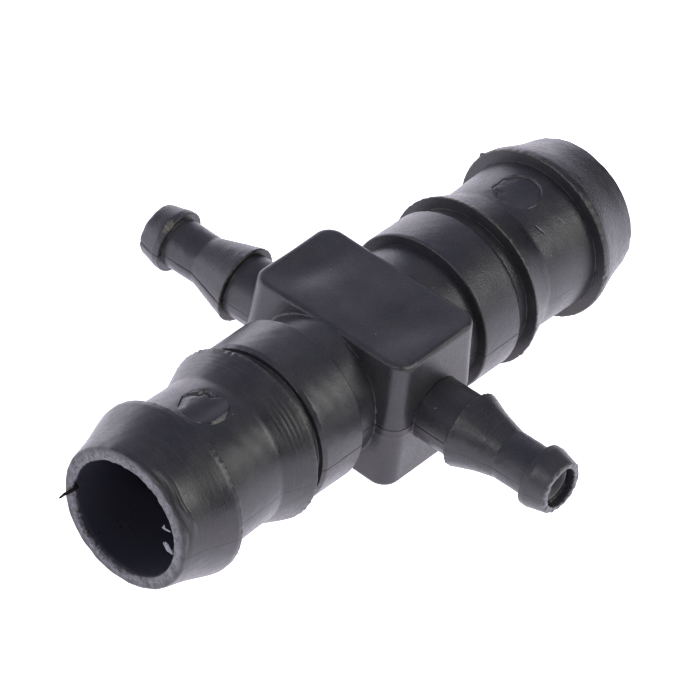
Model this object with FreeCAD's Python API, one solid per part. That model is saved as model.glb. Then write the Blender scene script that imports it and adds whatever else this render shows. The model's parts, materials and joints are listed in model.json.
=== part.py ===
"""Barbed reducing cross connector for drip irrigation: a 16 mm pipe run with two micro-tube branches.

One moulding, written as its named sections, which meet face to face at the planes where the outline
already has a corner. All lengths are in millimetres.

Frame: the origin is where the run's axis and the branches' axis cross. +X runs towards the rear end of
the pipe run, +Y towards the left branch, and +Z up, square to the mould's parting plane (z = 0).
"""

import FreeCAD, Part
import os
from math import cos, pi, sin, tan
from FreeCAD import Vector

PARTS_FOLDER = "parts"

# Pipe run, along X. Stations are distances from the origin, and the two ends are alike.
RUN_BORE_R = 5.5
RUN_ROOT_R = 6.7
COLLAR_R = 7.7
RUN_NECK_R = 7.05
INNER_BARB_R = 8.25
END_BARB_R = 8.2
RUN_TIP_R = 6.7

COLLAR_START = 8.35
COLLAR_END = 13.4
INNER_BARB_BACK = 14.8
INNER_BARB_FRONT = 18.0
END_BARB_BACK = 24.4
RUN_TIP = 30.2
RUN_LAND = 0.6
RUN_LIP = 0.25
COLLAR_EDGE = 0.3
RIDGE_EDGE = 0.1

# Flat round marks that the mould's ejector pins leave on top of the run, one on each neck.
PIN_MARK_STATION = 20.85
PIN_MARK_R = 2.2
PIN_MARK_TOP = 6.85
PIN_MARK_BOTTOM = 6.2

# Branches, along Y, alike on both sides.
BRANCH_BORE_R = 1.6
BRANCH_ROOT_R = 3.0
BRANCH_NECK_R = 2.32
BRANCH_INNER_R = 3.65
BRANCH_END_R = 2.92
BRANCH_TIP_R = 2.45

BRANCH_INNER_BACK = 12.75
BRANCH_INNER_FRONT = 17.1
BRANCH_END_BACK = 20.5
BRANCH_TIP = 23.0
BRANCH_LAND = 0.6
BRANCH_LIP = 0.15
BRANCH_EDGE = 0.15

# Centre block, which tapers away from the parting plane so that it leaves the mould.
BLOCK_HALF_X = 5.5
BLOCK_HALF_Y = 8.9
BLOCK_HALF_Z = 6.85
BLOCK_CORNER_R = 1.9
BLOCK_EDGE_R = 0.45
DRAFT = 2.4 * pi / 180

REAR, FRONT, LEFT, RIGHT = 0, 180, 90, -90
ORIGIN = Vector(0, 0, 0)
UP = Vector(0, 0, 1)


def rounded_wire(corners):
    """Closed wire in the XZ plane through corners (station, radius, rounding), each rounded by an arc."""
    points = [Vector(station, 0, radius) for station, radius, _ in corners]
    runs = []
    for i, (_, _, rounding) in enumerate(corners):
        corner = points[i]
        back = (points[i - 1] - corner).normalize()
        ahead = (points[(i + 1) % len(points)] - corner).normalize()
        half_turn = back.getAngle(ahead) / 2
        reach = rounding / tan(half_turn)
        middle = (back + ahead).normalize()
        nearest = corner + middle * (rounding / sin(half_turn) - rounding)
        runs.append((corner + back * reach, nearest, corner + ahead * reach, rounding))
    edges = []
    for i, (start, nearest, end, rounding) in enumerate(runs):
        if rounding:
            edges.append(Part.Arc(start, nearest, end).toShape())
        edges.append(Part.LineSegment(end, runs[(i + 1) % len(runs)][0]).toShape())
    return Part.Wire(edges)


def turned(corners):
    """Solid of revolution about X from an outline of corners (station, radius, rounding)."""
    solid = Part.Face(rounded_wire(corners)).revolve(ORIGIN, Vector(1, 0, 0), 360)
    return solid if solid.Volume > 0 else solid.reversed()


def facing(solid, side):
    """The solid turned about Z, from the rear end, where it was drawn, to another side."""
    placed = solid.copy()
    placed.rotate(ORIGIN, UP, side)
    return placed


def stop_collar():
    """The raised band that the pipe butts against, and the groove between it and the inner barb."""
    return turned([
        (COLLAR_START, RUN_BORE_R, 0),
        (COLLAR_START, COLLAR_R, RIDGE_EDGE),
        (COLLAR_END, COLLAR_R, COLLAR_EDGE),
        (COLLAR_END, RUN_NECK_R, 0),
        (INNER_BARB_BACK, RUN_NECK_R, 0),
        (INNER_BARB_BACK, RUN_BORE_R, 0),
    ])


def run_inner_barb():
    """The ridge nearest the collar, its slope, and the neck with its flat pin mark."""
    barb = turned([
        (INNER_BARB_BACK, RUN_BORE_R, 0),
        (INNER_BARB_BACK, INNER_BARB_R, RIDGE_EDGE),
        (INNER_BARB_FRONT, RUN_NECK_R, 0),
        (END_BARB_BACK, RUN_NECK_R, 0),
        (END_BARB_BACK, RUN_BORE_R, 0),
    ])
    pad = Part.makeCylinder(
        PIN_MARK_R, PIN_MARK_TOP - PIN_MARK_BOTTOM, Vector(PIN_MARK_STATION, 0, PIN_MARK_BOTTOM))
    recess = Part.makeCylinder(PIN_MARK_R, RUN_NECK_R, Vector(PIN_MARK_STATION, 0, PIN_MARK_TOP))
    return barb.fuse(pad).cut(recess)


def run_end_barb():
    """The ridge at the mouth, its short level land, and the slope that opens the pipe."""
    return turned([
        (END_BARB_BACK, RUN_BORE_R, 0),
        (END_BARB_BACK, END_BARB_R, 0),
        (END_BARB_BACK + RUN_LAND, END_BARB_R, 0),
        (RUN_TIP, RUN_TIP_R, RUN_LIP),
        (RUN_TIP, RUN_BORE_R, RUN_LIP),
    ])


def branch_inner_barb():
    """The larger ridge of a branch, its long slope, and the neck as far as the end barb."""
    return turned([
        (BRANCH_INNER_BACK, BRANCH_BORE_R, 0),
        (BRANCH_INNER_BACK, BRANCH_INNER_R, BRANCH_EDGE),
        (BRANCH_INNER_FRONT, BRANCH_NECK_R, 0),
        (BRANCH_END_BACK, BRANCH_NECK_R, 0),
        (BRANCH_END_BACK, BRANCH_BORE_R, 0),
    ])


def branch_end_barb():
    """The smaller ridge at a branch's mouth, its level land, and its slope."""
    return turned([
        (BRANCH_END_BACK, BRANCH_BORE_R, 0),
        (BRANCH_END_BACK, BRANCH_END_R, 0),
        (BRANCH_END_BACK + BRANCH_LAND, BRANCH_END_R, 0),
        (BRANCH_TIP, BRANCH_TIP_R, BRANCH_LIP),
        (BRANCH_TIP, BRANCH_BORE_R, BRANCH_LIP),
    ])


def block_outline(z):
    """The block's outline at height z: a rectangle with rounded corners, smaller away from z = 0."""
    half_x = BLOCK_HALF_X - abs(z) * tan(DRAFT)
    half_y = BLOCK_HALF_Y - abs(z) * tan(DRAFT)
    radius = BLOCK_CORNER_R
    edges = []
    for quarter in range(4):
        turn = quarter * pi / 2
        sign_x = 1 if quarter in (0, 3) else -1
        sign_y = 1 if quarter in (0, 1) else -1
        centre = Vector(sign_x * (half_x - radius), sign_y * (half_y - radius), z)
        on_arc = [centre + Vector(cos(turn + step), sin(turn + step), 0) * radius
                  for step in (0, pi / 4, pi / 2)]
        if edges:
            edges.append(Part.LineSegment(edges[-1].Vertexes[-1].Point, on_arc[0]).toShape())
        edges.append(Part.Arc(*on_arc).toShape())
    edges.append(Part.LineSegment(edges[-1].Vertexes[-1].Point, edges[0].Vertexes[0].Point).toShape())
    return Part.Wire(edges)


def block_half(top):
    """Half of the block, from the parting plane to z = top, with the far edge rounded."""
    half = Part.makeLoft([block_outline(0), block_outline(top)], True, True)
    far_edges = [edge for edge in half.Edges
                 if all(abs(vertex.Z - top) < 1e-6 for vertex in edge.Vertexes)]
    return half.makeFillet(BLOCK_EDGE_R, far_edges)


def centre_body():
    """The block with the four roots that carry the barbs, bored both ways."""
    run_root = Part.makeCylinder(RUN_ROOT_R, 2 * COLLAR_START, Vector(-COLLAR_START, 0, 0), Vector(1, 0, 0))
    branch_root = Part.makeCylinder(
        BRANCH_ROOT_R, 2 * BRANCH_INNER_BACK, Vector(0, -BRANCH_INNER_BACK, 0), Vector(0, 1, 0))
    run_bore = Part.makeCylinder(RUN_BORE_R, 2 * COLLAR_START, Vector(-COLLAR_START, 0, 0), Vector(1, 0, 0))
    branch_bore = Part.makeCylinder(
        BRANCH_BORE_R, 2 * BRANCH_INNER_BACK, Vector(0, -BRANCH_INNER_BACK, 0), Vector(0, 1, 0))
    block = block_half(BLOCK_HALF_Z).fuse(block_half(-BLOCK_HALF_Z))
    body = block.fuse([run_root, branch_root]).removeSplitter()
    return body.cut([run_bore, branch_bore])


def sections():
    """Every section by its name."""
    made = {"centre_body": centre_body()}
    for name, side in (("front", FRONT), ("rear", REAR)):
        made[name + "_stop_collar"] = facing(stop_collar(), side)
        made[name + "_inner_barb"] = facing(run_inner_barb(), side)
        made[name + "_end_barb"] = facing(run_end_barb(), side)
    for name, side in (("left", LEFT), ("right", RIGHT)):
        made[name + "_branch_inner_barb"] = facing(branch_inner_barb(), side)
        made[name + "_branch_end_barb"] = facing(branch_end_barb(), side)
    return made


os.makedirs(PARTS_FOLDER, exist_ok=True)
for node, shape in sections().items():
    solids = shape.Solids
    assert len(solids) == 1 and solids[0].isValid(), node
    solids[0].exportStep(os.path.join(PARTS_FOLDER, node + ".step"))
    print(f"{node}: {solids[0].Volume:.1f} mm3, {len(solids[0].Faces)} faces")
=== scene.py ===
"""Looks of a black plastic barbed cross connector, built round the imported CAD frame.

Lengths are in millimetres up to the point where a mesh is made, and meshes are in metres. Each section
of the moulding is rebuilt with the roundings, the parting line, the flash and the tool marks that the
plain solid leaves out. Front is -X, rear +X, left +Y and right -Y, as in the CAD.
"""

import json
from math import acos, ceil, cos, pi, radians, sin, sqrt, tan

import bmesh
import bpy
import numpy as np
from mathutils import Matrix, Vector


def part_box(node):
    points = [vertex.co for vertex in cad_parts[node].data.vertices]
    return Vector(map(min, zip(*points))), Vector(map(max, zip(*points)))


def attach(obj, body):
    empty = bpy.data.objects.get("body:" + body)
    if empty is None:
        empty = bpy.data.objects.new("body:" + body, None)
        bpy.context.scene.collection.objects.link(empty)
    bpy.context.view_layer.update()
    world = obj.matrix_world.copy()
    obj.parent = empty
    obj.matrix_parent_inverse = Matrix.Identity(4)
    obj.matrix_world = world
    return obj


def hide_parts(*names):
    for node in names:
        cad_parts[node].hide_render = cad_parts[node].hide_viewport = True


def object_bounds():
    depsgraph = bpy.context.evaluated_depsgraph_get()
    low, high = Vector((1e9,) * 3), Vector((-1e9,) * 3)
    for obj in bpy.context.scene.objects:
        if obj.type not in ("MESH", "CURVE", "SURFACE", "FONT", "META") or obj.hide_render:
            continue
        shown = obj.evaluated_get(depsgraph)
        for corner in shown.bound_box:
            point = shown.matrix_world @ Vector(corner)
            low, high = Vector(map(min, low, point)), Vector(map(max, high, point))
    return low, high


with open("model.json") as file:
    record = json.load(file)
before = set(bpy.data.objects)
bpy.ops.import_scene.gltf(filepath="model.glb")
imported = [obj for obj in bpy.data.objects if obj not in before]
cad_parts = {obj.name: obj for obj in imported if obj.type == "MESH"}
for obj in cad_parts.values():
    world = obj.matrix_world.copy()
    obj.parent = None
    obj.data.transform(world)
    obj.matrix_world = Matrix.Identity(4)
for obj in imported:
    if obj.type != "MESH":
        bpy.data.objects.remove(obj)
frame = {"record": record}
cad_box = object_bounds()

MM = 0.001
BODY = "root"


# ---------------------------------------------------------------- sizes from the CAD frame

def corners_mm(node):
    """Lowest and highest corner of a CAD node, in millimetres."""
    low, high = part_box(node)
    return np.array(low) / MM, np.array(high) / MM


mount_r = {mount["name"]: mount["dims"]["r_mm"] for mount in frame["record"]["mounts"]}
collar_low, collar_high = corners_mm("rear_stop_collar")
ridge_low, ridge_high = corners_mm("rear_inner_barb")
mouth_low, mouth_high = corners_mm("rear_end_barb")
twig_low, twig_high = corners_mm("left_branch_inner_barb")
tip_low, tip_high = corners_mm("left_branch_end_barb")

RUN_BORE_R = mount_r["run_bore"]
COLLAR_START = collar_low[0]
INNER_BARB_BACK = ridge_low[0]
END_BARB_BACK = mouth_low[0]
RUN_TIP = mouth_high[0]
COLLAR_R = collar_high[2]
INNER_BARB_R = ridge_high[2]
END_BARB_R = mount_r["rear_pipe_barb"]

BRANCH_BORE_R = mount_r["left_branch_bore"]
BRANCH_INNER_BACK = twig_low[1]
BRANCH_END_BACK = tip_low[1]
BRANCH_TIP = tip_high[1]
BRANCH_INNER_R = twig_high[2]
BRANCH_END_R = mount_r["left_tube_barb"]

# ---------------------------------------------------------------- sizes that only the looks need

RUN_ROOT_R = 6.7
COLLAR_END = 13.4
COLLAR_BEVEL = 0.42
COLLAR_BEVEL_DROP = 0.2
GROOVE_R = 7.05
NECK_R_INNER = 7.0
NECK_R_OUTER = 7.15
INNER_BARB_FRONT = 18.0
RUN_TIP_R = 6.7
RUN_LAND = 0.6

BRANCH_ROOT_R = 3.0
BRANCH_NECK_R = 2.32
BRANCH_INNER_FRONT = 17.1
BRANCH_LAND = 0.6
BRANCH_TIP_R = 2.45
BRANCH_MOUTH_R = 1.9
BRANCH_STEP = BRANCH_TIP - 0.85

BLOCK_HALF_X = 5.5
BLOCK_HALF_Y = 8.9
BLOCK_HALF_Z = 6.85
BLOCK_CORNER_R = 1.65
BLOCK_EDGE_R = 0.45
DRAFT = radians(2.4)
ROOT_FILLET = 0.02
BRANCH_FILLET = 0.04
# Sink marks on top, over the block's thick corners: place along Y, half width there, and depth.
SINK_MARKS = [(5.9, 2.2, 0.5), (-5.0, 2.1, 0.33)]
SINK_MIDDLE_X, SINK_HALF_X = -0.3, 3.2
# A small dent in the top's edge: its middle, half width and depth.
DENT_PLACE, DENT_WIDTH, DENT_DEPTH = (-4.0, -8.45, BLOCK_HALF_Z), 0.45, 0.18
# A fine ridge round the body, under the parting plane: its depth below the plane, half width and height.
LAND_HEIGHT, LAND_WIDTH, LAND_RIDGE = 0.85, 0.12, 0.03

# The roots flare by a hair just before the next section, so that no gap shows between them.
ROOT_FLARE, ROOT_FLARE_LENGTH = 0.03, 0.15
# The corner where a groove or a neck meets the back of the next ridge.
FILLET = 0.03

PIN_MARK_STATION = 20.85
PIN_MARK_R = 2.2
PIN_MARK_TOP = 6.85

# The two halves of the mould meet at z = 0, the lower one a little out of line.
HALVES_SHIFT = np.array((-0.025, -0.025, 0.0))
PARTING_BLEND = 0.03
PARTING_DEPTH = 0.025
PARTING_WIDTH = 0.06


# ---------------------------------------------------------------- small mathematics

def unit(vector):
    return vector / np.linalg.norm(vector)


def ramp(value, low, high):
    """0 below low, 1 above high, and a smooth rise between."""
    t = np.clip((value - low) / (high - low), 0, 1)
    return t * t * (3 - 2 * t)


def bump(value, centre, width):
    """1 at the centre, and a smooth fall to nothing on both sides."""
    return np.exp(-((value - centre) / width) ** 2)


def wobble(points, wavelength, seed):
    """Smooth noise of about unit size at points, made of plane waves near one wavelength."""
    rng = np.random.default_rng(seed)
    total = np.zeros(points.shape[:-1])
    for _ in range(10):
        direction = unit(rng.normal(size=3))
        length = wavelength * rng.uniform(0.65, 1.6)
        total += np.sin(points @ direction * (2 * pi / length) + rng.uniform(0, 2 * pi))
    return total / sqrt(5)


def ragged(angles, coarsest, finest, seed):
    """Noise round a circle, with between coarsest and finest waves in a turn."""
    rng = np.random.default_rng(seed)
    total = np.zeros(np.shape(angles))
    for waves in range(coarsest, finest + 1):
        total += rng.normal() * np.sin(waves * angles + rng.uniform(0, 2 * pi))
    return total / sqrt((finest - coarsest + 1) / 2)


def below_parting(height):
    """1 under the parting plane and 0 over it, with a narrow blend between."""
    return (1 - np.tanh(height / PARTING_BLEND)) / 2


def turn_between(angle, degrees):
    """How far angle is from a bearing in degrees, between -pi and pi."""
    return (angle - radians(degrees) + pi) % (2 * pi) - pi


# ---------------------------------------------------------------- meshes

# The most that an outline's points are apart, and the angles in degrees over which an edge stays sharp.
RUN_SPACING, BRANCH_SPACING = 0.15, 0.12
SHARP_EDGE, BODY_SHARP_EDGE = 38, 50


def add_piece(name, mesh, material):
    """A visible piece of the one body, in the one material slot."""
    mesh.materials.append(material)
    piece = bpy.data.objects.new(name, mesh)
    bpy.context.scene.collection.objects.link(piece)
    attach(piece, BODY)
    return piece


def make_mesh(name, points, faces, material, sharp_degrees=SHARP_EDGE):
    """A piece from points in millimetres, smooth but for edges sharper than sharp_degrees."""
    mesh = bpy.data.meshes.new(name)
    mesh.from_pydata((np.asarray(points) * MM).tolist(), [], np.asarray(faces).tolist())
    mesh.validate()
    mesh.shade_smooth()
    mesh.set_sharp_from_angle(angle=radians(sharp_degrees))
    return add_piece(name, mesh, material)


def facing_out(points, quads):
    """The quads, turned over if they face into the solid that they bound."""
    a, b, c, d = (points[quads[:, i]] for i in range(4))
    volume = (np.cross(a, b) * c + np.cross(a, c) * d).sum()
    return quads if volume > 0 else quads[:, ::-1]


def rounded_outline(corners, spacing):
    """Closed outline through corners (station, radius, rounding), its points at most spacing apart."""
    places = np.array([corner[:2] for corner in corners], float)
    stretches = []
    for i, (_, _, rounding) in enumerate(corners):
        corner = places[i]
        if not rounding:
            stretches.append([corner])
            continue
        back = unit(places[i - 1] - corner)
        ahead = unit(places[(i + 1) % len(places)] - corner)
        half_turn = acos(np.clip(back @ ahead, -1, 1)) / 2
        centre = corner + unit(back + ahead) * rounding / sin(half_turn)
        start = corner + back * rounding / tan(half_turn) - centre
        end = corner + ahead * rounding / tan(half_turn) - centre
        swing = pi - 2 * half_turn
        steps = max(3, ceil(swing / radians(14)), ceil(swing * rounding / spacing))
        stretches.append([centre + (start * sin(swing * (1 - t)) + end * sin(swing * t)) / sin(swing)
                          for t in np.linspace(0, 1, steps + 1)])
    outline = []
    for i, stretch in enumerate(stretches):
        outline.extend(stretch)
        gap = stretches[(i + 1) % len(stretches)][0] - stretch[-1]
        pieces = ceil(np.linalg.norm(gap) / spacing)
        outline.extend(stretch[-1] + gap * k / pieces for k in range(1, pieces))
    return np.array(outline)


def turn_angles(step, fine=()):
    """Angles round a turned piece, closer at the parting plane and in the fine spans (from, to, step)."""
    angles = np.arange(0, 360, step)
    spans = [(seam - 1.0, seam + 1.01, 0.2) for seam in (0, 180, 360)] + list(fine)
    for low, high, fine_step in spans:
        angles = angles[(angles < low - step / 3) | (angles > high + step / 3)]
        angles = np.append(angles, np.arange(low, high, fine_step))
    angles = np.unique(np.round(angles % 360, 4))
    return np.radians(angles)


def mould_halves(points, outward, amount):
    """The step and the fine groove that the two halves of the mould leave where they meet, at z = 0."""
    height = points[..., 2]
    depth = PARTING_DEPTH * (1 + 0.5 * wobble(points, 5, 11)) * bump(height, 0, PARTING_WIDTH)
    shift = (below_parting(height) * amount)[..., None] * HALVES_SHIFT
    return points + shift - (depth * amount)[..., None] * outward


def with_rows(outline, low, high, least_radius, spacing):
    """The outline with points added between the stations low and high, outside least_radius."""
    rows = []
    for start, end in zip(outline, np.roll(outline, -1, axis=0)):
        middle = (start + end) / 2
        pieces = 1
        if low < middle[0] < high and middle[1] > least_radius:
            pieces = ceil(np.linalg.norm(end - start) / spacing)
        rows.extend(start + (end - start) * k / pieces for k in range(pieces))
    return np.array(rows)


def turned(name, corners, axis, side, shape, angles, material, seam=1.0, extra_rows=None):
    """A piece turned about the X or Y axis, on one side of the block, after shape has moved its points.

    seam is how strongly the parting line shows, and extra_rows are the arguments of with_rows.
    """
    spacing, bore = (RUN_SPACING, RUN_BORE_R) if axis == "X" else (BRANCH_SPACING, BRANCH_BORE_R)
    outline = rounded_outline(corners, spacing)
    if extra_rows:
        outline = with_rows(outline, *extra_rows)
    station, angle = np.meshgrid(outline[:, 0], angles, indexing="ij")
    radius = np.repeat(outline[:, 1:], len(angles), axis=1)
    station, radius, angle = shape(station, radius, angle, side)
    level = np.zeros_like(angle)
    across, up = np.cos(angle), np.sin(angle)
    if axis == "X":
        points, spoke = (side * station, radius * across, radius * up), (level, across, up)
    else:
        points, spoke = (radius * across, side * station, radius * up), (across, level, up)
    points, spoke = np.stack(points, -1), np.stack(spoke, -1)
    points = mould_halves(points, spoke, seam * ramp(radius, bore + 0.3, bore + 0.7))
    rows, columns = station.shape
    index = np.arange(rows * columns).reshape(rows, columns)
    below, beside = np.roll(index, -1, 0), np.roll(index, -1, 1)
    quads = np.stack((index, beside, np.roll(below, -1, 1), below), -1).reshape(-1, 4)
    points = points.reshape(-1, 3)
    piece = make_mesh(name, points, facing_out(points, quads), material)
    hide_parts(name)


# ---------------------------------------------------------------- the pipe run

COLLAR_ANGLES = turn_angles(1.0)
NECK_ANGLES = turn_angles(1.25, fine=[(70, 110.01, 0.4)])
MOUTH_ANGLES = turn_angles(0.9, fine=[(105, 167.01, 0.6)])
BRANCH_ANGLES = turn_angles(2.0)
# Extra rows, as the arguments of with_rows: round the pin marks, and behind the torn rims.
NECK_ROWS = (PIN_MARK_STATION - 2.5, PIN_MARK_STATION + 2.6, RUN_BORE_R + 0.5, 0.055)
MOUTH_ROWS = (RUN_TIP - 1.5, RUN_TIP - 0.02, RUN_BORE_R + 0.5, 0.06)

# The rings on the inner barbs' slopes, from the turning of the mould: their pitch and heights.
TOOL_PITCH = 0.4
FRONT_RINGS, REAR_RINGS = 0.026, 0.016
# The end barbs' slopes are a little hollow, and the rear end barb is a hair larger than the front one.
SLOPE_HOLLOW = 0.12
REAR_LIFT = 0.07
# The front mouth's inner edge is a hair wide of the bore, and out of centre towards a bearing.
RIM_WIDER, RIM_ASIDE, RIM_BEARING = 0.03, 0.2, 290
# The lip of flash rolled back beside the front rim, with a crease between the two.
FOLD_BEARING, FOLD_HALF_SPAN = 136, radians(25)
FOLD_HEIGHT, CREASE_DEPTH = 0.19, 0.3

# Nicks and nibs on the ridges: side, station, degrees round the run, height and half width.
RIDGE_FLAWS = [
    (-1, INNER_BARB_BACK + 0.1, 46, 0.07, 0.3),
    (-1, INNER_BARB_BACK + 0.1, 58, 0.05, 0.7),
    (-1, INNER_BARB_BACK + 0.15, 68, -0.1, 0.18),
    (-1, INNER_BARB_BACK + 0.1, 73, -0.06, 0.2),
    (1, INNER_BARB_BACK + 0.1, 118, 0.07, 0.25),
    (1, INNER_BARB_BACK + 0.1, 181, -0.07, 0.15),
    (1, END_BARB_BACK + 0.1, 181, -0.14, 0.25),
    (1, END_BARB_BACK + 0.1, 176, 0.06, 0.2),
    (1, END_BARB_BACK + 0.1, 36, 0.22, 0.3),
]


def run_skin(station, radius, angle, side):
    """Slight unevenness of the run's outside, and the flaws along its ridges."""
    points = np.stack((side * station, radius * np.cos(angle), radius * np.sin(angle)), -1)
    skin = ramp(radius, RUN_BORE_R + 0.2, RUN_BORE_R + 0.9)
    lift = 0.014 * wobble(points, 7, 3) + 0.004 * wobble(points, 1.3, 4)
    for flaw_side, flaw_station, degrees, height, width in RIDGE_FLAWS:
        if flaw_side == side:
            around = bump(radius * turn_between(angle, degrees), 0, width)
            lift = lift + height * bump(station, flaw_station, width) * around
    return station, radius + skin * lift, angle


def collar_shape(station, radius, angle, side):
    """The uneven edge of the collar's outer bevel."""
    edge = bump(station, COLLAR_END - 0.1, 0.3) * ramp(radius, GROOVE_R + 0.2, COLLAR_R)
    station = station + edge * 0.02 * ragged(angle, 20, 60, 21 + side)
    return run_skin(station, radius, angle, side)


def inner_barb_shape(station, radius, angle, side):
    """The ridge's ragged crest, the tool's rings on its slope, and the ejector-pin mark on its neck."""
    crest = ramp(radius, INNER_BARB_R - 0.35, INNER_BARB_R) * bump(station, INNER_BARB_BACK, 0.4)
    slope = ramp(station, INNER_BARB_BACK + 0.35, INNER_BARB_BACK + 0.7)
    slope = slope * (1 - ramp(station, INNER_BARB_BACK + 1.7, INNER_BARB_BACK + 2.6))
    slope = slope * ramp(radius, GROOVE_R - 0.2, GROOVE_R) * (0.6 + 0.4 * ragged(angle, 1, 5, 41 + side))
    radius = radius + crest * 0.02 * ragged(angle, 24, 90, 31 + side)
    uneven = 1.1 * ragged(angle, 1, 4, 45 + side)
    rings = np.sin(2 * pi * station / TOOL_PITCH + uneven)
    radius = radius + slope * (FRONT_RINGS if side < 0 else REAR_RINGS) * rings
    station, radius, angle = run_skin(station, radius, angle, side)
    near = (np.abs(station - PIN_MARK_STATION) < 2.6) & (np.sin(angle) > 0.8)
    marked = pin_mark(station[near], radius[near], angle[near], side, **PIN_MARKS[side])
    for whole, part in zip((station, radius, angle), marked):
        whole[near] = part
    return station, radius, angle


# The pin marks by side. deep is the fall at the torn edge, sunk how far the flat lies under the pin's
# height, proud how far the near edge stands out, and facet the slope outside it. torn_at and near_at are
# the bearings of the two edges, and aside and across say how far the mark is out of place.
PIN_MARKS = {
    -1: dict(deep=0.13, sunk=-0.06, proud=0.15, facet=0.8, torn_at=68, near_at=-90, aside=0.16, across=0.15),
    1: dict(deep=0.08, sunk=0.06, proud=0.05, facet=0.2, torn_at=110, near_at=-60, aside=0.0, across=0.0),
}
FACET_REACH = 0.85 * PIN_MARK_R


def pin_mark(station, radius, angle, side, deep, sunk, proud, facet, torn_at, near_at, aside, across):
    """The ejector pin's round mark on the neck's top: a proud near edge, and a torn far one."""
    east, north = side * (station - PIN_MARK_STATION - aside), radius * np.cos(angle) - across
    reach, bearing = np.hypot(east, north), np.arctan2(north, east)
    rim = PIN_MARK_R * (1 + 0.008 * ragged(bearing, 3, 10, 51 + side))
    on_top = ramp(np.sin(angle), 0.8, 0.85) * ramp(radius, RUN_BORE_R + 0.6, RUN_BORE_R + 0.8)
    inside = 1 - ramp(reach, rim - 0.06, rim + 0.05)
    skin_level = np.sqrt(np.maximum(radius ** 2 - (north + across) ** 2, 1.0))
    far = skin_level - 0.01 if side < 0 else np.minimum(PIN_MARK_TOP, skin_level)
    floor = PIN_MARK_TOP - sunk + (far - PIN_MARK_TOP + sunk) * ramp(north, -1.2, 0.9)
    towards = reach * np.cos(turn_between(bearing, near_at))
    floor = floor + proud * ramp(towards, 0.2, FACET_REACH) - facet * np.maximum(towards - FACET_REACH, 0)
    torn = ramp(np.cos(turn_between(bearing, torn_at)), 0.1, 0.5)
    wedge = ramp(np.cos(turn_between(bearing, torn_at - 38)), 0.8, 0.97) if side < 0 else 0.0
    edge = rim - torn * (0.12 + 0.09 * ragged(bearing, 5, 9, 61 + side)) - 0.05 * wedge
    past = edge - reach
    fall = ramp(past, -0.03, 0.08 + 0.2 * wedge) * (1 - ramp(past, 0.12 + 0.2 * wedge, 0.9))
    score = 0.1 * deep * bump(reach - rim, 0, 0.07)
    level = skin_level + inside * (floor - skin_level) - deep * torn * (1 + wedge) * fall - score
    height = skin_level + on_top * (level - skin_level)
    return station, np.hypot(north + across, height), np.arctan2(height, north + across)


def end_barb_shape(station, radius, angle, side):
    """The ragged rim of the mouth, and on the front one the lip of flash rolled back beside it."""
    rim = bump(station, RUN_TIP, 0.3)
    inner = rim * (1 - ramp(radius, RUN_BORE_R + 0.15, RUN_BORE_R + 0.45))
    outer = rim * ramp(radius, RUN_TIP_R - 0.35, RUN_TIP_R)
    station, radius, angle = run_skin(station, radius, angle, side)
    offset = RIM_WIDER + RIM_ASIDE * np.cos(turn_between(angle, RIM_BEARING)) if side < 0 else 0.0
    radius = radius + inner * (offset + 0.03 * ragged(angle, 4, 60, 71 + side))
    radius = radius + outer * 0.02 * ragged(angle, 3, 30, 73 + side)
    face = rim * ramp(radius, RUN_BORE_R + 0.1, RUN_BORE_R + 0.3) * (1 - outer)
    station = station + rim * 0.02 * ragged(angle, 3, 25, 75 + side)
    points = np.stack((side * station, radius * np.cos(angle), radius * np.sin(angle)), -1)
    station = station + face * 0.02 * wobble(points, 0.9, 79)
    crest = bump(station, END_BARB_BACK, 0.35) * ramp(radius, END_BARB_R - 0.3, END_BARB_R)
    radius = radius + crest * 0.012 * ragged(angle, 24, 80, 77 + side)
    outside = ramp(radius, RUN_TIP_R - 0.4, RUN_TIP_R - 0.1)
    radius = radius - outside * SLOPE_HOLLOW * bump(station, END_BARB_BACK + 3.3, 1.7)
    if side > 0:
        return station, radius + outside * REAR_LIFT, angle
    span = bump(turn_between(angle, FOLD_BEARING), 0, FOLD_HALF_SPAN) * outside
    wander = 0.1 * ragged(angle, 3, 14, 78)
    torn = np.clip(0.8 + 0.35 * ragged(angle, 6, 14, 80), 0.2, 1.5)
    fold = FOLD_HEIGHT * torn * bump(station, RUN_TIP - 0.95 + wander, 0.22)
    fold = fold - CREASE_DEPTH * bump(station, RUN_TIP - 0.46 + wander, 0.17)
    return station, radius + span * fold, angle


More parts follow.
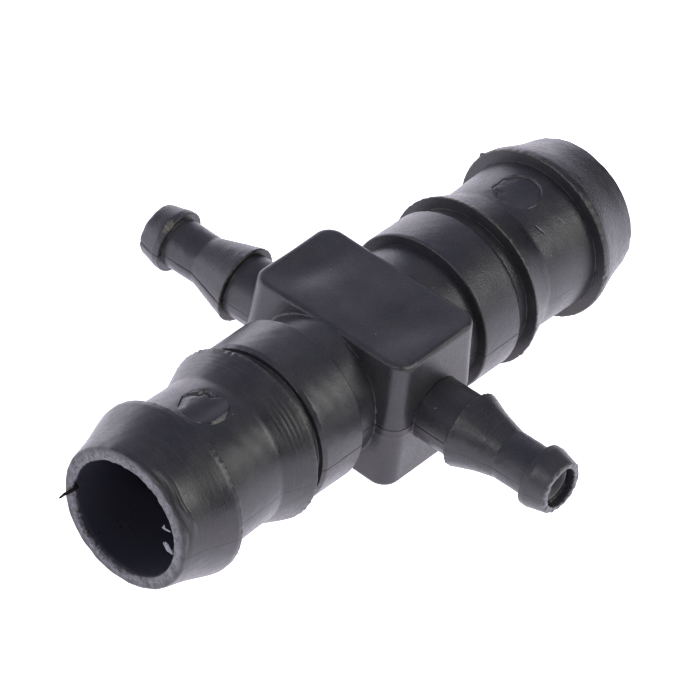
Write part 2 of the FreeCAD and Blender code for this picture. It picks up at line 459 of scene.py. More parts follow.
def pipe_run(material):
    """Both ends of the run, with a collar, an inner barb and an end barb each."""
    inner_barb = [
        (INNER_BARB_BACK, RUN_BORE_R, 0),
        (INNER_BARB_BACK, INNER_BARB_R + 0.04, 0.1),
        (INNER_BARB_FRONT, NECK_R_INNER, 1.1),
        (END_BARB_BACK - FILLET, NECK_R_OUTER, 0.06),
        (END_BARB_BACK, NECK_R_OUTER + FILLET, 0),
        (END_BARB_BACK, RUN_BORE_R, 0),
    ]
    end_barb = [
        (END_BARB_BACK, RUN_BORE_R, 0),
        (END_BARB_BACK, END_BARB_R, 0.12),
        (END_BARB_BACK + RUN_LAND, END_BARB_R, 0.9),
        (RUN_TIP, RUN_TIP_R, 0.32),
        (RUN_TIP, RUN_BORE_R, 0.22),
    ]
    for end, side, collar_edge in (("front", -1, 0.08), ("rear", 1, 0.2)):
        collar = [
            (COLLAR_START, RUN_BORE_R, 0),
            (COLLAR_START, COLLAR_R, collar_edge),
            (COLLAR_END - COLLAR_BEVEL, COLLAR_R, 0.25),
            (COLLAR_END, COLLAR_R - COLLAR_BEVEL_DROP, 0.08),
            (COLLAR_END, GROOVE_R, 0.15),
            (INNER_BARB_BACK - FILLET, GROOVE_R, 0.06),
            (INNER_BARB_BACK, GROOVE_R + FILLET, 0),
            (INNER_BARB_BACK, RUN_BORE_R, 0),
        ]
        turned(end + "_stop_collar", collar, "X", side, collar_shape, COLLAR_ANGLES, material)
        turned(end + "_inner_barb", inner_barb, "X", side, inner_barb_shape, NECK_ANGLES, material,
               seam=0.4, extra_rows=NECK_ROWS)
        turned(end + "_end_barb", end_barb, "X", side, end_barb_shape, MOUTH_ANGLES, material,
               seam=0.5, extra_rows=MOUTH_ROWS)


# ---------------------------------------------------------------- the branches

# How much longer each branch is than in the CAD, and how hollow the right one's long slope is.
LEFT_STRETCH, RIGHT_STRETCH = 0.05, -0.1
RIGHT_HOLLOW = 0.12
BRANCH_TOOL_PITCH, BRANCH_RINGS = 0.36, 0.008


def branch_skin(station, radius, angle, side):
    """Slight unevenness of a branch's outside."""
    points = np.stack((radius * np.cos(angle), side * station, radius * np.sin(angle)), -1)
    skin = ramp(radius, BRANCH_BORE_R + 0.1, BRANCH_BORE_R + 0.5)
    lift = 0.012 * wobble(points, 4, 5) + 0.004 * wobble(points, 0.9, 6)
    if side < 0:
        lift = lift - RIGHT_HOLLOW * bump(station, BRANCH_INNER_BACK + 2.2, 1.6)
    stretch = LEFT_STRETCH if side > 0 else RIGHT_STRETCH
    station = station + stretch * ramp(station, BRANCH_INNER_BACK + 0.5, BRANCH_TIP)
    return station, radius + skin * lift, angle


def branch_inner_shape(station, radius, angle, side):
    """The large ridge's crest and the fine rings that the tool left down its slope."""
    crest = ramp(radius, BRANCH_INNER_R - 0.3, BRANCH_INNER_R) * bump(station, BRANCH_INNER_BACK, 0.3)
    slope = ramp(station, BRANCH_INNER_BACK + 0.8, BRANCH_INNER_BACK + 1.6)
    slope = slope * (1 - ramp(station, BRANCH_INNER_FRONT - 0.6, BRANCH_INNER_FRONT + 0.4))
    slope = slope * ramp(radius, BRANCH_NECK_R - 0.3, BRANCH_NECK_R)
    radius = radius + crest * 0.015 * ragged(angle, 6, 40, 81 + side)
    radius = radius + slope * BRANCH_RINGS * np.sin(2 * pi * station / BRANCH_TOOL_PITCH)
    return branch_skin(station, radius, angle, side)


def branch_end_shape(station, radius, angle, side):
    """The small ridge, dented on the left branch, and a mouth that is ragged and out of round."""
    station, radius, angle = branch_skin(station, radius, angle, side)
    inside = 1 - ramp(radius, BRANCH_MOUTH_R + 0.02, BRANCH_MOUTH_R + 0.3)
    mouth = inside * ramp(station, BRANCH_STEP - 0.02, BRANCH_STEP + 0.02)
    oval = 0.1 * np.cos(2 * turn_between(angle, 105))
    radius = radius + mouth * (oval + 0.03 * ragged(angle, 3, 24, 91 + side))
    rim = bump(station, BRANCH_TIP, 0.25) * ramp(radius, BRANCH_MOUTH_R, BRANCH_MOUTH_R + 0.2)
    station = station + rim * (0.015 if side > 0 else 0.035) * ragged(angle, 3, 20, 93 + side)
    radius = radius + rim * (0.01 if side > 0 else 0.05) * ragged(angle, 3, 24, 95 + side)
    if side > 0:
        around = bump(turn_between(angle, 128), 0, radians(24))
        flat = around * bump(station, BRANCH_END_BACK + 0.1, 0.42)
        flat = flat * ramp(radius, BRANCH_END_R - 0.5, BRANCH_END_R)
        radius = radius - flat * (0.16 + 0.03 * ragged(angle, 10, 40, 97))
    return station, radius, angle


def branches(material):
    """Both branches, with a large inner barb and a small end barb each."""
    for end, side, inner_edge, seam in (("left", 1, 0.12, 2.2), ("right", -1, 0.07, 0.5)):
        inner_barb = [
            (BRANCH_INNER_BACK, BRANCH_BORE_R, 0),
            (BRANCH_INNER_BACK, BRANCH_INNER_R + 0.3 * inner_edge, inner_edge),
            (BRANCH_INNER_FRONT, BRANCH_NECK_R, 0.5),
            (BRANCH_END_BACK - FILLET, BRANCH_NECK_R, 0.08),
            (BRANCH_END_BACK, BRANCH_NECK_R + FILLET, 0),
            (BRANCH_END_BACK, BRANCH_BORE_R, 0),
        ]
        end_barb = [
            (BRANCH_END_BACK, BRANCH_BORE_R, 0),
            (BRANCH_END_BACK, BRANCH_END_R, 0.1),
            (BRANCH_END_BACK + BRANCH_LAND, BRANCH_END_R, 0.5),
            (BRANCH_TIP, BRANCH_TIP_R, 0.2),
            (BRANCH_TIP, BRANCH_MOUTH_R, 0.1),
            (BRANCH_STEP, BRANCH_MOUTH_R, 0),
            (BRANCH_STEP, BRANCH_BORE_R, 0.05),
        ]
        turned(end + "_branch_inner_barb", inner_barb, "Y", side, branch_inner_shape, BRANCH_ANGLES,
               material, seam)
        turned(end + "_branch_end_barb", end_barb, "Y", side, branch_end_shape, BRANCH_ANGLES,
               material, seam)


# ---------------------------------------------------------------- the centre body

SEAM_OVERLAP = 0.12
NET_STEP = 0.18


def joined(a, b, fillet):
    """Distance to the union of two solids, with a fillet in the corner between them."""
    near_a, near_b = np.maximum(fillet - a, 0), np.maximum(fillet - b, 0)
    return np.maximum(fillet, np.minimum(a, b)) - np.hypot(near_a, near_b)


def common(a, b, rounding):
    """Distance to what two solids share, with their edge rounded."""
    past_a, past_b = np.maximum(a + rounding, 0), np.maximum(b + rounding, 0)
    return np.minimum(-rounding, np.maximum(a, b)) + np.hypot(past_a, past_b)


def root_distance(from_skin, past_end):
    """Distance to a root's surface, which flares a hair and then ends just inside the next section."""
    flare = ROOT_FLARE * np.clip(1 + past_end / ROOT_FLARE_LENGTH, 0, 1) ** 2
    return np.maximum(from_skin - flare, past_end - SEAM_OVERLAP)


def body_distance(points):
    """Signed distance to the centre body's surface, negative inside it."""
    points = points - below_parting(points[..., 2])[..., None] * HALVES_SHIFT
    x, y, z = np.moveaxis(points, -1, 0)
    along_run, along_branch, height = np.abs(x), np.abs(y), np.abs(z)
    run_r, branch_r = np.hypot(y, z), np.hypot(x, z)
    taper = height * tan(DRAFT)
    side_x = along_run - (BLOCK_HALF_X - taper - BLOCK_CORNER_R)
    side_y = along_branch - (BLOCK_HALF_Y - taper - BLOCK_CORNER_R)
    walls = np.hypot(np.maximum(side_x, 0), np.maximum(side_y, 0))
    walls = walls + np.minimum(np.maximum(side_x, side_y), 0)
    sink = sum(depth * bump(y, place, width) for place, width, depth in SINK_MARKS)
    sink = sink * bump(x, SINK_MIDDLE_X, SINK_HALF_X)
    block = common((walls - BLOCK_CORNER_R) * cos(DRAFT), height - BLOCK_HALF_Z + sink, BLOCK_EDGE_R)
    run_root = root_distance(run_r - RUN_ROOT_R, along_run - COLLAR_START)
    branch_root = root_distance(branch_r - BRANCH_ROOT_R, along_branch - BRANCH_INNER_BACK)
    solid = joined(joined(block, run_root, ROOT_FILLET), branch_root, BRANCH_FILLET)
    solid = solid - 0.012 * wobble(points, 7, 3)
    solid = solid + 1.4 * PARTING_DEPTH * bump(z, 0, PARTING_WIDTH)
    solid = solid - LAND_RIDGE * bump(z, -LAND_HEIGHT, LAND_WIDTH)
    from_dent = np.linalg.norm(points - DENT_PLACE, axis=-1)
    solid = solid + DENT_DEPTH * bump(from_dent, 0, DENT_WIDTH)
    run_end = ramp(along_run, COLLAR_START, COLLAR_START + SEAM_OVERLAP)
    run_bore = RUN_BORE_R + 0.2 * run_end - run_r
    branch_end = ramp(along_branch, BRANCH_INNER_BACK, BRANCH_INNER_BACK + SEAM_OVERLAP)
    branch_bore = BRANCH_BORE_R + 0.2 * branch_end - branch_r
    return np.maximum(solid, np.maximum(run_bore, branch_bore))


def net_lines(reach, fine):
    """Grid planes from -reach to reach, closer near the fine places (centre, half width, step)."""
    lines = np.arange(0, reach, NET_STEP)
    for centre, half_width, step in fine:
        lines = lines[np.abs(lines - centre) > half_width + step / 2]
        low, high = max(centre - half_width, 0), centre + half_width
        lines = np.append(lines, np.arange(low, high + step / 2, step))
    lines = np.unique(np.round(np.append(lines, reach), 4))
    return np.concatenate((-lines[:0:-1], lines))


def surface_net(distance, xs, ys, zs):
    """Points and quads of the surface where distance is zero: one point in each grid cell it crosses."""
    grid = np.stack(np.meshgrid(xs, ys, zs, indexing="ij"), -1)
    value = distance(grid)
    solid = value < 0
    cells = tuple(n - 1 for n in value.shape)
    corner = [(i, j, k) for i in (0, 1) for j in (0, 1) for k in (0, 1)]

    def at(array, offset):
        return array[tuple(slice(o, o + n) for o, n in zip(offset, cells))]

    filled = sum(at(solid, offset).astype(np.int8) for offset in corner)
    active = (filled > 0) & (filled < 8)
    number = np.full(cells, -1)
    number[active] = np.arange(active.sum())
    total, crossings = np.zeros((active.sum(), 3)), np.zeros(active.sum())
    for first in corner:
        for axis in range(3):
            if first[axis]:
                continue
            second = tuple(o + (a == axis) for a, o in enumerate(first))
            start, end = at(value, first)[active], at(value, second)[active]
            crossed = (start < 0) != (end < 0)
            share = np.where(crossed, start / np.where(crossed, start - end, 1), 0)[:, None]
            place = at(grid, first)[active] * (1 - share) + at(grid, second)[active] * share
            total += place * crossed[:, None]
            crossings += crossed
    points = total / crossings[:, None]
    quads = []
    for axis in range(3):
        ahead = [slice(1, -1)] * 3
        ahead[axis] = slice(0, -1)
        further = list(ahead)
        further[axis] = slice(1, None)
        here, there = solid[tuple(ahead)], solid[tuple(further)]
        a, b = (axis + 1) % 3, (axis + 2) % 3
        for crossing, order in ((here & ~there, 1), (~here & there, -1)):
            place = np.argwhere(crossing) + 1
            place[:, axis] -= 1
            ring = []
            for step_a, step_b in ((-1, -1), (0, -1), (0, 0), (-1, 0))[::order]:
                cell = place.copy()
                cell[:, a] += step_a
                cell[:, b] += step_b
                ring.append(number[tuple(cell.T)])
            quads.append(np.stack(ring, -1))
    return points, np.concatenate(quads)


def onto_surface(distance, points, rounds=3):
    """Points moved along the distance's slope until they lie where it is zero."""
    step = 1e-3
    for _ in range(rounds):
        value = distance(points)
        slope = np.stack([(distance(points + move) - distance(points - move)) / (2 * step)
                          for move in step * np.eye(3)], -1)
        size = np.maximum((slope ** 2).sum(-1), 0.25)
        points = points - np.clip(value / size, -0.05, 0.05)[:, None] * slope
    return points


def centre_body(material):
    """The block, its four roots, and the fillets between them."""
    xs = net_lines(COLLAR_START + SEAM_OVERLAP + 0.08, [
        (BLOCK_HALF_X - 0.15, 0.18, 0.06), (COLLAR_START, 0.08, 0.04)])
    ys = net_lines(BRANCH_INNER_BACK + SEAM_OVERLAP + 0.08, [
        (BLOCK_HALF_Y - 0.07, 0.15, 0.05), (BRANCH_INNER_BACK, 0.08, 0.04)])
    zs = net_lines(RUN_ROOT_R + 0.5, [(0, 0.12, 0.03)])
    points, quads = surface_net(body_distance, xs, ys, zs)
    points = onto_surface(body_distance, points)
    piece = make_mesh("centre_body", points, facing_out(points, quads), material, BODY_SHARP_EDGE)
    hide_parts("centre_body")


# ---------------------------------------------------------------- flash at the mouth

WHISKER_THICKNESS = 0.5
WHISKER_TAPER = 0.55
WHISKER_FLATNESS = 0.7


def whisker(name, route, thickness, material):
    """A hair of flash: a flattened tube along the smoothed route, tapering to its end."""
    sides = 8
    centres = np.array(route, float)
    share = np.linspace(0, 1, len(centres))
    dense = np.linspace(0, 1, 4 * len(centres))
    centres = np.stack([np.interp(dense, share, centres[:, i]) for i in range(3)], -1)
    kernel = np.array((0.25, 0.5, 0.25))
    for _ in range(3):
        inner = sum(kernel[k] * centres[k:len(centres) - 2 + k] for k in range(3))
        centres = np.concatenate((centres[:1], inner, centres[-1:]))
    heading = np.gradient(centres, axis=0)
    heading = heading / np.linalg.norm(heading, axis=1)[:, None]
    first = np.cross(heading, (0.0, 0.0, 1.0))
    first = first / np.linalg.norm(first, axis=1)[:, None]
    second = np.cross(heading, first)
    width = thickness / 2 * (1 - WHISKER_TAPER * dense ** 3)
    turn = np.arange(sides) * 2 * pi / sides
    flat = WHISKER_FLATNESS * second
    ring = first[:, None] * np.cos(turn)[:, None] + flat[:, None] * np.sin(turn)[:, None]
    points = (centres[:, None] + ring * width[:, None, None]).reshape(-1, 3)
    rows = len(centres)
    index = np.arange(rows * sides).reshape(rows, sides)
    beside = np.roll(index, -1, 1)
    faces = np.stack((index[:-1], beside[:-1], beside[1:], index[1:]), -1).reshape(-1, 4).tolist()
    faces += [index[0][::-1].tolist(), index[-1].tolist()]
    mesh = bpy.data.meshes.new(name)
    mesh.from_pydata((points * MM).tolist(), [], faces)
    mesh.shade_smooth()
    add_piece(name, mesh, material)


def fleck(name, centre, length_axis, width_axis, seed, material):
    """A lumpy scrap of torn plastic or dust: an ellipsoid on two half axes, a third as thick as wide."""
    length_axis, width_axis = np.array(length_axis, float), np.array(width_axis, float)
    thick_axis = unit(np.cross(length_axis, width_axis)) * np.linalg.norm(width_axis) / 3
    ball = bmesh.new()
    bmesh.ops.create_icosphere(ball, subdivisions=3, radius=1.0)
    mesh = bpy.data.meshes.new(name)
    ball.to_mesh(mesh)
    ball.free()
    shape = np.array([vertex.co for vertex in mesh.vertices])
    shape = shape * (1 + 0.16 * wobble(shape, 1.1, seed))[:, None]
    points = np.array(centre) + shape @ np.array((length_axis, width_axis, thick_axis))
    mesh.vertices.foreach_set("co", (points * MM).ravel())
    mesh.shade_smooth()
    add_piece(name, mesh, material)


def flash(dark, pale):
    """The hair and the torn scraps left in the front mouth, the scrapes on the rear neck, and dust."""
    mouth = -RUN_TIP
    route = [
        (mouth + 0.1, 5.35, 0.05),
        (mouth - 0.1, 5.45, -0.25),
        (mouth - 0.15, 5.9, -0.85),
        (mouth - 0.12, 6.4, -1.45),
        (mouth - 0.1, 6.9, -2.25),
    ]
    whisker("mouth_whisker", route, WHISKER_THICKNESS, dark)
    scraps = [
        ("mouth_scrap_1", (mouth + 0.1, -4.4, 1.78), (0.0, -0.5, 0.08), (0.0, 0.02, 0.12), 101),
        ("mouth_scrap_2", (mouth + 0.08, -4.95, -0.05), (0.0, -0.52, -0.32), (0.05, -0.1, 0.2), 102),
        ("mouth_scrap_3", (mouth + 0.1, -4.2, 1.95), (0.0, 0.08, 0.16), (0.0, 0.08, -0.04), 103),
        ("neck_scrape_1", (19.36, -4.02, 5.87), (0.2, -0.5, -0.35), (0.075, 0.03, 0.0), 104),
        ("neck_scrape_2", (21.94, -4.3, 5.67), (0.17, -0.32, -0.25), (0.065, 0.03, 0.0), 105),
        ("dust_1", (-19.83, -2.12, 6.78), (0.07, 0, 0), (0, 0.06, 0), 106),
        ("dust_2", (-3.01, -3.7, BLOCK_HALF_Z - 0.08), (0.07, 0, 0), (0, 0.05, 0), 107),
        ("dust_3", (0.62, 4.45, BLOCK_HALF_Z - 0.1), (0.05, 0, 0), (0, 0.04, 0), 108),
        ("ridge_fleck", (END_BARB_BACK + 0.05, -8.16, 0.1), (0.04, 0.0, 0.22), (0.09, 0.02, 0.0), 110),
        ("dust_4", (-2.1, -10.33, 2.14), (0.08, 0, 0.06), (0, 0.07, 0), 109),
    ]
    for name, centre, length_axis, width_axis, seed in scraps:
        fleck(name, centre, length_axis, width_axis, seed, pale)


# ---------------------------------------------------------------- materials

def node(tree, kind, inputs=None, **settings):
    """A shader node with its settings, and each input set to a value or linked to a socket."""
    made = tree.nodes.new("ShaderNode" + kind)
    for key, value in settings.items():
        setattr(made, key, value)
    for key, value in (inputs or {}).items():
        if isinstance(value, bpy.types.NodeSocket):
            tree.links.new(value, made.inputs[key])
        else:
            made.inputs[key].default_value = value
    return made


def empty_tree(owner):
    """The node tree of a new material or world, cleared."""
    owner.use_nodes = True
    owner.node_tree.nodes.clear()
    return owner.node_tree


def noise(tree, place, scale, detail=2.0, roughness=0.5):
    """Noise between 0 and 1, with scale cells to a unit of place."""
    settings = {"Vector": place, "Scale": scale, "Detail": detail, "Roughness": roughness}
    return node(tree, "TexNoise", settings).outputs["Fac"]


def between(tree, value, low, high, to_low=0.0, to_high=1.0):
    """value carried smoothly from the span low to high to another span."""
    spread = {"Value": value, "From Min": low, "From Max": high, "To Min": to_low, "To Max": to_high}
    return node(tree, "MapRange", spread, interpolation_type="SMOOTHSTEP").outputs["Result"]


def maths(tree, operation, *values):
    return node(tree, "Math", dict(enumerate(values)), operation=operation).outputs["Value"]


def vectors(tree, operation, *values, result="Vector"):
    return node(tree, "VectorMath", dict(enumerate(values)), operation=operation).outputs[result]


def scaled(tree, value, factor):
    """A place or a colour times a number."""
    return node(tree, "VectorMath", {0: value, "Scale": factor}, operation="SCALE").outputs["Vector"]


def blended(tree, share, first, second):
    """A colour between two others, the second where share is 1."""
    mix = node(tree, "Mix", {"Factor": share, 6: first, 7: second}, data_type="RGBA")
    return mix.outputs[2]


def masked(tree, *values):
    """The product of several masks."""
    product = values[0]
    for value in values[1:]:
        product = maths(tree, "MULTIPLY", product, value)
    return product


def object_place(tree):
    """The place on the part, in millimetres from its origin."""
    return scaled(tree, node(tree, "TexCoord").outputs["Object"], 1 / MM)


def part_along(tree, place, axis):
    """The place's coordinate along the axis of that number."""
    return node(tree, "SeparateXYZ", {"Vector": place}).outputs[axis]


def cylinder_place(tree, place, axis):
    """Distance from the axis of that number, and distance along it from the origin."""
    across = vectors(tree, "MULTIPLY", place, [float(i != axis) for i in range(3)])
    radius = vectors(tree, "LENGTH", across, result="Value")
    return radius, maths(tree, "ABSOLUTE", part_along(tree, place, axis))


# Colours of the moulding: its skin from dark to light, the turning marks, worn ridges with a painted
# highlight, dust, and painted shade for the inside corners.
DARK_SKIN = (0.0175, 0.0175, 0.0205, 1)
LIGHT_SKIN = (0.0275, 0.0268, 0.027, 1)
TURNING_MARK = (0.05, 0.046, 0.042, 1)
# Wear and a painted highlight: a pale brownish line along the ridges' crests.
RIDGE_WEAR_AND_HIGHLIGHT = (0.1, 0.085, 0.062, 1)
DUST = (0.3, 0.29, 0.27, 1)
# Painted shade: a near-black laid into the inside corners, where shade falls.
CORNER_SHADE = (0.006, 0.006, 0.006, 1)
PLASTIC_IOR = 1.49
# How strongly the turning marks show away from the slopes.
FAINT_TURNING = 0.1
RELIEF_DEPTH = 0.05


def slope_mask(tree, station, slopes):
    """1 on the slopes (station from, to) and FAINT_TURNING elsewhere."""
    mask = FAINT_TURNING
    for low, high in slopes:
        start = between(tree, station, low - 0.1, low + 0.2)
        end = between(tree, station, high + 0.4, high - 0.2)
        mask = maths(tree, "MAXIMUM", masked(tree, start, end), mask)
    return mask


def dust_mask(tree, place, fine):
    """Specks of dust, in a few of the cells that the surface is split into."""
    cells = node(tree, "TexVoronoi", {"Vector": place, "Scale": 0.62, "Randomness": 1.0})
    chosen = node(tree, "SeparateColor", {"Color": cells.outputs["Color"]}).outputs["Red"]
    return masked(tree, between(tree, cells.outputs["Distance"], 0.045, 0.02),
                  between(tree, chosen, 0.72, 0.74), between(tree, fine, 0.35, 0.6))


def corner_shade_mask(tree, place, corners):
    """Painted shade in the inside corners (axis of the root, its radius, station of the face that it
    leaves).
    """
    corner_shade = 0.0
    for axis, root_radius, face_station in corners:
        radius, station = cylinder_place(tree, place, axis)
        from_root = maths(tree, "ABSOLUTE", maths(tree, "SUBTRACT", radius, root_radius))
        from_face = maths(tree, "ABSOLUTE", maths(tree, "SUBTRACT", station, face_station))
        here = masked(tree, between(tree, from_root, 0.14, 0.04), between(tree, from_face, 0.2, 0.08))
        corner_shade = maths(tree, "MAXIMUM", corner_shade, here)
    return corner_shade


def spot_mask(tree, place, centre, half_axes, grain, fine):
    """A worn place: an ellipsoid with a broken edge."""
    offset = vectors(tree, "DIVIDE", vectors(tree, "SUBTRACT", place, centre), half_axes)
    away = vectors(tree, "LENGTH", offset, result="Value")
    away = maths(tree, "ADD", away, between(tree, grain, 0.3, 0.7, -0.35, 0.35))
    return masked(tree, between(tree, away, 1.1, 0.8), between(tree, fine, 0.3, 0.6, 0.5, 1.0))


def black_plastic(name, streak_scale, bore=None, slopes=(), crests=(), lip=None, spots=(), corners=()):
    """Black polypropylene, satin and finely grained, with turning marks on slopes, and wear with a painted
    highlight along edges.

    Radii and stations are measured from and along the axis that streak_scale is largest on. bore is
    the smooth inside (radius from, to, colour), its colour lighter than the skin as painted light, slopes
    the stretches with turning marks (station from, to), crests the ridges that show wear and a painted
    highlight (radius from, to, station), lip a torn rim (station, radius from, to, colour), spots the worn
    places (centre, half axes, colour), and corners the inside corners that get painted shade (axis of the
    root, its radius, station of the face that it leaves).
    """
    material = bpy.data.materials.new(name)
    tree = empty_tree(material)
    place = object_place(tree)
    radius, station = cylinder_place(tree, place, int(np.argmax(streak_scale)))
    along_run = part_along(tree, place, 0)

    grain = noise(tree, place, 3.6, 1.0, 0.6)
    fine = noise(tree, place, 8.0, 1.0, 0.6)
    cloud = noise(tree, place, 0.3, 3.0, 0.55)
    streaks = noise(tree, vectors(tree, "MULTIPLY", place, streak_scale), 1.0)
    on_slope = slope_mask(tree, station, slopes)

    tone = blended(tree, between(tree, cloud, 0.35, 0.7), DARK_SKIN, LIGHT_SKIN)
    tone = scaled(tree, tone, between(tree, fine, 0.25, 0.75, 0.7, 1.3))
    tone = scaled(tree, tone, between(tree, on_slope, FAINT_TURNING, 1.0, 1.0, 0.75))
    marks = masked(tree, between(tree, streaks, 0.54, 0.7, 0.0, 0.25), on_slope)
    tone = blended(tree, marks, tone, TURNING_MARK)
    # A pale line along the crests that is partly wear and partly a painted highlight, weaker towards the
    # front.
    wear_and_highlight = between(tree, along_run, -14.0, -4.0, 0.4, 1.0)
    for low, high, edge in crests:
        worn = masked(tree, between(tree, radius, low, high),
                      between(tree, station, edge + 0.16, edge + 0.04),
                      between(tree, grain, 0.4, 0.6, 0.1, 0.8), wear_and_highlight)
        tone = blended(tree, worn, tone, RIDGE_WEAR_AND_HIGHLIGHT)
    if lip:
        lip_station, lip_low, lip_high, lip_colour = lip
        torn = masked(tree, between(tree, station, lip_station - 0.3, lip_station - 0.08),
                      between(tree, radius, lip_high, lip_low),
                      between(tree, grain, 0.35, 0.65, 0.05, 0.6))
        tone = blended(tree, torn, tone, lip_colour)
    for centre, half_axes, colour in spots:
        spot = spot_mask(tree, place, centre, half_axes, grain, fine)
        tone = blended(tree, spot, tone, colour)
    dust, corner_shade = dust_mask(tree, place, fine), corner_shade_mask(tree, place, corners)
    tone = blended(tree, maths(tree, "MULTIPLY", dust, 0.55), tone, DUST)
    # Painted shade darkens the inside corners.
    tone = blended(tree, maths(tree, "MULTIPLY", corner_shade, 0.5), tone, CORNER_SHADE)
    outside = 1.0
    # The bore takes a colour lighter than the skin: painted light inside the bore.
    if bore:
        bore_low, bore_high, bore_painted_light = bore
        outside = between(tree, radius, bore_low, bore_high)
        tone = blended(tree, outside, bore_painted_light, tone)

    rough = maths(tree, "ADD", between(tree, cloud, 0.3, 0.7, 0.33, 0.4),
                  masked(tree, between(tree, streaks, 0.35, 0.7, -0.04, 0.04), on_slope))
    rough = maths(tree, "ADD", rough, between(tree, grain, 0.3, 0.7, -0.04, 0.04))
    # Less reflection in the inside corners, which adds to the painted shade there.
    gloss = maths(tree, "MULTIPLY_ADD", corner_shade, -0.3, 0.5)

    height = maths(tree, "ADD", maths(tree, "MULTIPLY", grain, 0.3), maths(tree, "MULTIPLY", fine, 0.6))
    height = maths(tree, "ADD", height, masked(tree, streaks, on_slope, 0.5))
    strength = masked(tree, outside, between(tree, along_run, -18.0, 16.0, 0.3, 1.0))
    relief = node(tree, "Bump", {"Height": height, "Strength": strength, "Distance": RELIEF_DEPTH * MM})
    shader = node(tree, "BsdfPrincipled", {
        "Base Color": tone, "Roughness": rough, "IOR": PLASTIC_IOR, "Specular IOR Level": gloss,
        "Normal": relief.outputs["Normal"]})
    node(tree, "OutputMaterial", {"Surface": shader.outputs["BSDF"]})
    return material


def scrap_plastic(name, colour, gloss):
    """Thin torn plastic or dust: mottled, and rougher than the moulding."""
    material = bpy.data.materials.new(name)
    tree = empty_tree(material)
    mottle = noise(tree, object_place(tree), 6.0, 2.0, 0.6)
    dim = tuple(0.45 * level for level in colour)
    tone = blended(tree, between(tree, mottle, 0.35, 0.65), (*dim, 1), (*colour, 1))
    relief = node(tree, "Bump", {"Height": mottle, "Strength": 0.6, "Distance": 0.03 * MM})
    shader = node(tree, "BsdfPrincipled", {
        "Base Color": tone, "Roughness": between(tree, mottle, 0.3, 0.7, 0.4, 0.6),
        "Specular IOR Level": gloss, "Normal": relief.outputs["Normal"]})
    node(tree, "OutputMaterial", {"Surface": shader.outputs["BSDF"]})
    return material


# ---------------------------------------------------------------- stage, light and camera

# The camera: azimuth from -Y towards +X, elevation, roll, and its place from the origin.
CAMERA_AZIMUTH = radians(-55.352)
CAMERA_ELEVATION = radians(40.76)
CAMERA_ROLL = radians(8.506)
CAMERA_DISTANCE = 503.4
CAMERA_ASIDE, CAMERA_RAISE = -0.56, 0.555
SENSOR, LENS = 36.0, 299.5

TABLE_HALF = 3000.0
TABLE_GAP = 0.05
TABLE_GLOW = (1.33, 1.27, 1.45, 1)
TABLE_COLOUR = (0.8, 0.8, 0.8, 1)
TENT_COLOUR = (0.05, 0.05, 0.06)
TENT_SEEN = (1.0, 1.0, 1.0, 1)
# Soft boxes: azimuth from +X, elevation, half angles of the full part and of the whole, and colour.
SOFT_BOXES = [
    (-64, 34, 13, 23, (5.0, 5.05, 4.9)),
    (-169, 42, 10, 14, (4.1, 4.3, 4.4)),
    (-148, 53, 10, 16, (0.6, 0.5, 0.4)),
    (90, 50, 50, 80, (0.4, 0.39, 0.54)),
]
# A bright band low down in the tent, behind the part.
HORIZON_TOWARDS = (-0.225, 0.974, 0.0)
HORIZON_COLOUR = (2.55, 2.45, 2.75)


def table_top(height):
    """A plain white light table under the part."""
    corners = [(x, y, height) for x, y in ((-1, -1), (1, -1), (1, 1), (-1, 1))]
    points = np.array(corners) * (TABLE_HALF, TABLE_HALF, 1)
    mesh = bpy.data.meshes.new("table_top")
    mesh.from_pydata((points * MM).tolist(), [], [(0, 1, 2, 3)])
    material = bpy.data.materials.new("white_table")
    tree = empty_tree(material)
    glow = node(tree, "Emission", {"Color": TABLE_GLOW, "Strength": 1.0})
    matt = node(tree, "BsdfDiffuse", {"Color": TABLE_COLOUR})
    lit = node(tree, "AddShader", {0: glow.outputs[0], 1: matt.outputs[0]})
    node(tree, "OutputMaterial", {"Surface": lit.outputs[0]})
    mesh.materials.append(material)
    floor = bpy.data.objects.new("table_top", mesh)
    bpy.context.scene.collection.objects.link(floor)


def light_tent():
    """Soft light from all round: a dim cool tent with soft boxes in it, plain white where it is seen."""
    world = bpy.data.worlds.new("light_tent")
    bpy.context.scene.world = world
    tree = empty_tree(world)
    direction = node(tree, "TexCoord").outputs["Generated"]
    light = TENT_COLOUR
    for azimuth, elevation, inner, outer, colour in SOFT_BOXES:
        level = cos(radians(elevation))
        axis = (level * cos(radians(azimuth)), level * sin(radians(azimuth)), sin(radians(elevation)))
        facing = vectors(tree, "DOT_PRODUCT", direction, axis, result="Value")
        inside = between(tree, facing, cos(radians(outer)), cos(radians(inner)))
        light = vectors(tree, "ADD", light, scaled(tree, colour, inside))
    rise = part_along(tree, direction, 2)
    side = vectors(tree, "DOT_PRODUCT", direction, HORIZON_TOWARDS, result="Value")
    low = masked(tree, between(tree, rise, 0.38, 0.23), between(tree, side, 0.0, 0.6))
    light = vectors(tree, "ADD", light, scaled(tree, HORIZON_COLOUR, low))
    seen = node(tree, "LightPath").outputs["Is Camera Ray"]
    sky = node(tree, "Background", {"Color": blended(tree, seen, light, TENT_SEEN)})
    node(tree, "OutputWorld", {"Surface": sky.outputs[0]})


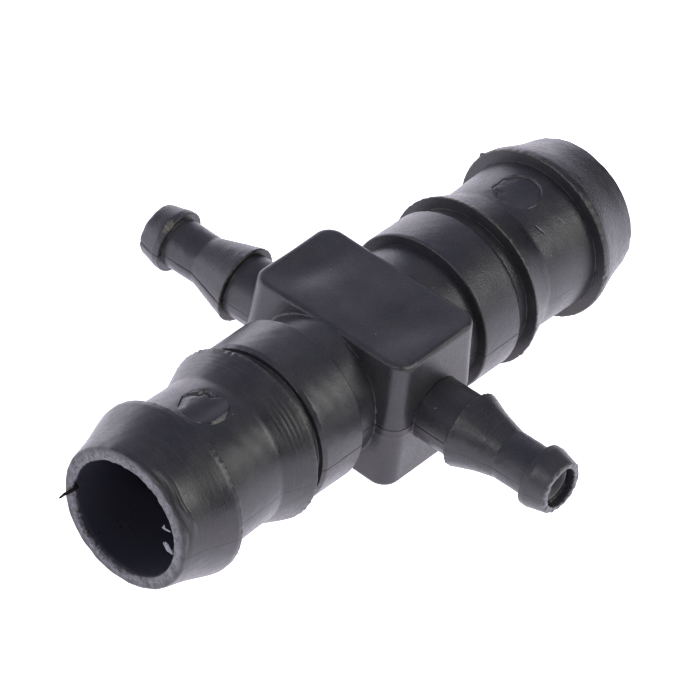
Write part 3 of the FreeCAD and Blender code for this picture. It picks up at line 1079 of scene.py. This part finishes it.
def photographer():
    """The camera, far off with a long lens."""
    level = Vector((cos(CAMERA_AZIMUTH), sin(CAMERA_AZIMUTH), 0))
    away = Vector((sin(CAMERA_AZIMUTH), -cos(CAMERA_AZIMUTH), 0))
    back = away * cos(CAMERA_ELEVATION) + Vector((0, 0, sin(CAMERA_ELEVATION)))
    upright = back.cross(level)
    right = level * cos(CAMERA_ROLL) + upright * sin(CAMERA_ROLL)
    up = back.cross(right)
    data = bpy.data.cameras.new("camera")
    data.sensor_width = SENSOR
    data.lens = LENS
    data.clip_start, data.clip_end = 0.01, 20
    camera = bpy.data.objects.new("camera", data)
    bpy.context.scene.collection.objects.link(camera)
    place = (right * CAMERA_ASIDE + up * CAMERA_RAISE + back * CAMERA_DISTANCE) * MM
    turn = Matrix((right, up, back)).transposed()
    camera.matrix_world = Matrix.Translation(place) @ turn.to_4x4()
    bpy.context.scene.camera = camera
    bpy.context.scene.view_settings.view_transform = "Standard"


# ---------------------------------------------------------------- the scene

photographer()
light_tent()
run_plastic = black_plastic(
    "run_plastic", (7.0, 0.45, 0.45),
    # A bore colour a little lighter than the skin, as painted light inside the run's bore.
    bore=(RUN_BORE_R + 0.02, RUN_BORE_R + 0.1, (0.03, 0.03, 0.042, 1)),
    slopes=[(INNER_BARB_BACK, INNER_BARB_FRONT), (END_BARB_BACK, RUN_TIP)],
    # The crests carry a pale line that is partly wear and partly a painted highlight.
    crests=[(INNER_BARB_R - 0.1, INNER_BARB_R, INNER_BARB_BACK),
            (END_BARB_R - 0.1, END_BARB_R, END_BARB_BACK)],
    lip=(RUN_TIP, RUN_BORE_R + 0.4, RUN_TIP_R - 0.1, (0.14, 0.145, 0.16, 1)))
branch_plastic = black_plastic(
    "branch_plastic", (0.45, 9.0, 0.45),
    # A mid grey bore, as painted light on the branch's bore wall.
    bore=(BRANCH_BORE_R + 0.02, BRANCH_BORE_R + 0.06, (0.22, 0.22, 0.23, 1)),
    slopes=[(BRANCH_INNER_BACK, BRANCH_INNER_FRONT)],
    # The large ridge's crest carries a pale line that is partly wear and partly a painted highlight.
    crests=[(BRANCH_INNER_R - 0.25, BRANCH_INNER_R - 0.1, BRANCH_INNER_BACK)],
    lip=(BRANCH_TIP - 0.1, BRANCH_TIP_R, BRANCH_TIP_R + 0.15, (0.13, 0.13, 0.14, 1)),
    spots=[((-1.5, BRANCH_END_BACK + 0.3, 2.45), (0.75, 0.34, 0.55), (0.11, 0.105, 0.08, 1))])
# The block's corners where the branch roots meet its sides are darkened with painted shade.
block_plastic = black_plastic(
    "block_plastic", (0.6, 0.61, 0.6), corners=[(1, BRANCH_ROOT_R, BLOCK_HALF_Y - 0.06)])
dark_scrap = scrap_plastic("dark_scrap", (0.014, 0.011, 0.01), 0.0)
pale_scrap = scrap_plastic("pale_scrap", (0.2, 0.21, 0.23), 0.5)
pipe_run(run_plastic)
branches(branch_plastic)
centre_body(block_plastic)
flash(dark_scrap, pale_scrap)
table_top(cad_box[0].z / MM - TABLE_GAP)
